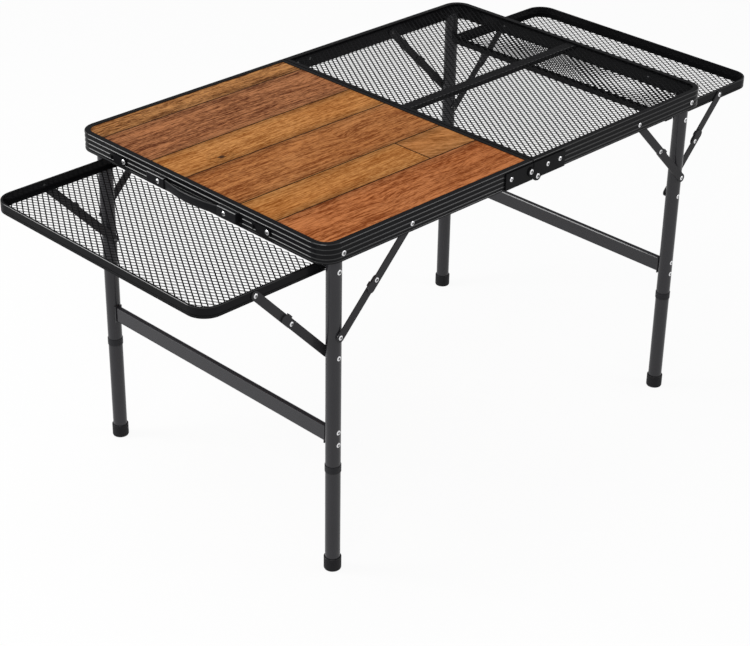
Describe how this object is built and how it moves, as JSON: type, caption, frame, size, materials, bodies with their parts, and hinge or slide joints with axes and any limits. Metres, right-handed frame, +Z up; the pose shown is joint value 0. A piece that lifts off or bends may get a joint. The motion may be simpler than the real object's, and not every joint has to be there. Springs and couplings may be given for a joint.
{
  "type": "folding camping table",
  "caption": "Folding camping table: a wood-look half hinged to a black expanded-mesh half in ribbed black rails, on folding tube legs with plug-on extensions and a drop mesh shelf at each end",
  "frame": {"origin": "on the floor under the middle of the seam between the two halves", "axes": "X along the table from the wood half to the mesh half, Y across it from front to back, Z up"},
  "size_m": [1.324, 0.611, 0.605],
  "materials": {
    "frame": "satin black powder coat on extruded aluminium rails",
    "wood": "satin printed wood look on a fibre board",
    "mesh": "black coated expanded steel mesh",
    "leg": "semi-gloss black coat on steel tube",
    "steel": "semi-gloss black coat on steel strip",
    "rivet": "bright zinc",
    "plastic": "black moulded plastic",
    "rubber": "black rubber"
  },
  "bodies": {
    "wood_half": {"wood_frame": "frame", "wood_seam_rail": "frame", "wood_deck": "wood", "wood_hinge_plates": "steel", "wood_frame_rivets": "rivet", "left_leg_pivots": "rivet", "left_brace_anchors": "rivet", "handle_blocks": "plastic", "handle_strap": "plastic", "leg_clips": "plastic"},
    "centre_link": {"hinge_links": "steel", "hinge_pins": "rivet"},
    "mesh_half": {"mesh_frame": "frame", "mesh_seam_rail": "frame", "mesh_deck": "mesh", "mesh_stiffener": "frame", "mesh_hinge_plates": "steel", "mesh_frame_rivets": "rivet", "right_leg_pivots": "rivet", "right_brace_anchors": "rivet", "latch_studs": "rivet"},
    "latch_front": {"latch_front": "steel"},
    "latch_back": {"latch_back": "steel"},
    "left_legs": {"left_leg_tubes": "leg", "left_crossbar": "leg", "left_leg_collars": "plastic", "left_leg_rivets": "rivet"},
    "left_brace_upper": {"left_brace_outer": "steel", "left_knee_rivets": "rivet"},
    "left_brace_lower": {"left_brace_inner": "steel"},
    "left_shelf": {"left_shelf_frame": "frame", "left_shelf_inner_rail": "frame", "left_shelf_mesh": "mesh", "left_shelf_rivets": "rivet"},
    "left_shelf_brace_leg": {"left_shelf_brace_outer": "steel", "left_shelf_knee_rivets": "rivet"},
    "left_shelf_brace_shelf": {"left_shelf_brace_inner": "steel"},
    "front_left_extension": {"front_left_extension": "leg", "front_left_foot": "rubber"},
    "back_left_extension": {"back_left_extension": "leg", "back_left_foot": "rubber"},
    "right_legs": {"right_leg_tubes": "leg", "right_crossbar": "leg", "right_leg_collars": "plastic", "right_leg_rivets": "rivet"},
    "right_brace_upper": {"right_brace_outer": "steel", "right_knee_rivets": "rivet"},
    "right_brace_lower": {"right_brace_inner": "steel"},
    "right_shelf": {"right_shelf_frame": "frame", "right_shelf_inner_rail": "frame", "right_shelf_mesh": "mesh", "right_shelf_rivets": "rivet"},
    "right_shelf_brace_leg": {"right_shelf_brace_outer": "steel", "right_shelf_knee_rivets": "rivet"},
    "right_shelf_brace_shelf": {"right_shelf_brace_inner": "steel"},
    "front_right_extension": {"front_right_extension": "leg", "front_right_foot": "rubber"},
    "back_right_extension": {"back_right_extension": "leg", "back_right_foot": "rubber"}
  },
  "joints": [
    {"name": "link_swing", "type": "hinge", "parent": "wood_half", "child": "centre_link", "pos_m": [-0.007, 0, 0.588], "axis": [0, 1, 0], "range_deg": [0, 6]},
    {"name": "mesh_fold", "type": "hinge", "parent": "centre_link", "child": "mesh_half", "pos_m": [0.009, 0, 0.576], "axis": [0, 1, 0], "range_deg": [0, 56]},
    {"name": "latch_front_turn", "type": "hinge", "parent": "wood_half", "child": "latch_front", "pos_m": [-0.461, -0.174, 0.5865], "axis": [1, 0, 0], "range_deg": [-90, 90]},
    {"name": "latch_back_turn", "type": "hinge", "parent": "wood_half", "child": "latch_back", "pos_m": [-0.461, 0.174, 0.5865], "axis": [1, 0, 0], "range_deg": [-90, 90]},
    {"name": "left_leg_fold", "type": "hinge", "parent": "wood_half", "child": "left_legs", "pos_m": [-0.422, 0, 0.585], "axis": [0, 1, 0], "range_deg": [-85, 0]},
    {"name": "left_shelf_fold", "type": "hinge", "parent": "left_legs", "child": "left_shelf", "pos_m": [-0.422, 0, 0.549], "axis": [0, 1, 0], "range_deg": [-90, 0]},
    {"name": "left_brace_upper_turn", "type": "hinge", "parent": "wood_half", "child": "left_brace_upper", "pos_m": [-0.277, 0, 0.585], "axis": [0, 1, 0], "range_deg": [0, 48]},
    {"name": "left_brace_lower_turn", "type": "hinge", "parent": "left_legs", "child": "left_brace_lower", "pos_m": [-0.422, 0, 0.438], "axis": [0, 1, 0], "range_deg": [-46, 0]},
    {"name": "left_shelf_brace_leg_turn", "type": "hinge", "parent": "left_legs", "child": "left_shelf_brace_leg", "pos_m": [-0.422, 0, 0.4], "axis": [0, 1, 0], "range_deg": [0, 46]},
    {"name": "left_shelf_brace_shelf_turn", "type": "hinge", "parent": "left_shelf", "child": "left_shelf_brace_shelf", "pos_m": [-0.562, 0, 0.549], "axis": [0, 1, 0], "range_deg": [-48, 0]},
    {"name": "front_left_extension_pull", "type": "slide", "parent": "left_legs", "child": "front_left_extension", "axis": [0, 0, -1], "range_m": [0, 0.045]},
    {"name": "back_left_extension_pull", "type": "slide", "parent": "left_legs", "child": "back_left_extension", "axis": [0, 0, -1], "range_m": [0, 0.045]},
    {"name": "right_leg_fold", "type": "hinge", "parent": "mesh_half", "child": "right_legs", "pos_m": [0.422, 0, 0.585], "axis": [0, -1, 0], "range_deg": [-70, 0]},
    {"name": "right_shelf_fold", "type": "hinge", "parent": "right_legs", "child": "right_shelf", "pos_m": [0.422, 0, 0.549], "axis": [0, -1, 0], "range_deg": [-90, 0]},
    {"name": "right_brace_upper_turn", "type": "hinge", "parent": "mesh_half", "child": "right_brace_upper", "pos_m": [0.277, 0, 0.585], "axis": [0, -1, 0], "range_deg": [0, 48]},
    {"name": "right_brace_lower_turn", "type": "hinge", "parent": "right_legs", "child": "right_brace_lower", "pos_m": [0.422, 0, 0.438], "axis": [0, -1, 0], "range_deg": [-46, 0]},
    {"name": "right_shelf_brace_leg_turn", "type": "hinge", "parent": "right_legs", "child": "right_shelf_brace_leg", "pos_m": [0.422, 0, 0.4], "axis": [0, -1, 0], "range_deg": [0, 46]},
    {"name": "right_shelf_brace_shelf_turn", "type": "hinge", "parent": "right_shelf", "child": "right_shelf_brace_shelf", "pos_m": [0.562, 0, 0.549], "axis": [0, -1, 0], "range_deg": [-48, 0]},
    {"name": "front_right_extension_pull", "type": "slide", "parent": "right_legs", "child": "front_right_extension", "axis": [0, 0, -1], "range_m": [0, 0.045]},
    {"name": "back_right_extension_pull", "type": "slide", "parent": "right_legs", "child": "back_right_extension", "axis": [0, 0, -1], "range_m": [0, 0.045]}
  ],
  "couplings": [
    {"joint": "left_brace_upper_turn", "follows": "left_leg_fold", "ratio": -0.50436},
    {"joint": "left_brace_lower_turn", "follows": "left_leg_fold", "ratio": 0.49564},
    {"joint": "left_shelf_brace_leg_turn", "follows": "left_shelf_fold", "ratio": -0.48018},
    {"joint": "left_shelf_brace_shelf_turn", "follows": "left_shelf_fold", "ratio": 0.51982},
    {"joint": "right_brace_upper_turn", "follows": "right_leg_fold", "ratio": -0.50436},
    {"joint": "right_brace_lower_turn", "follows": "right_leg_fold", "ratio": 0.49564},
    {"joint": "right_shelf_brace_leg_turn", "follows": "right_shelf_fold", "ratio": -0.48018},
    {"joint": "right_shelf_brace_shelf_turn", "follows": "right_shelf_fold", "ratio": 0.51982}
  ]
}
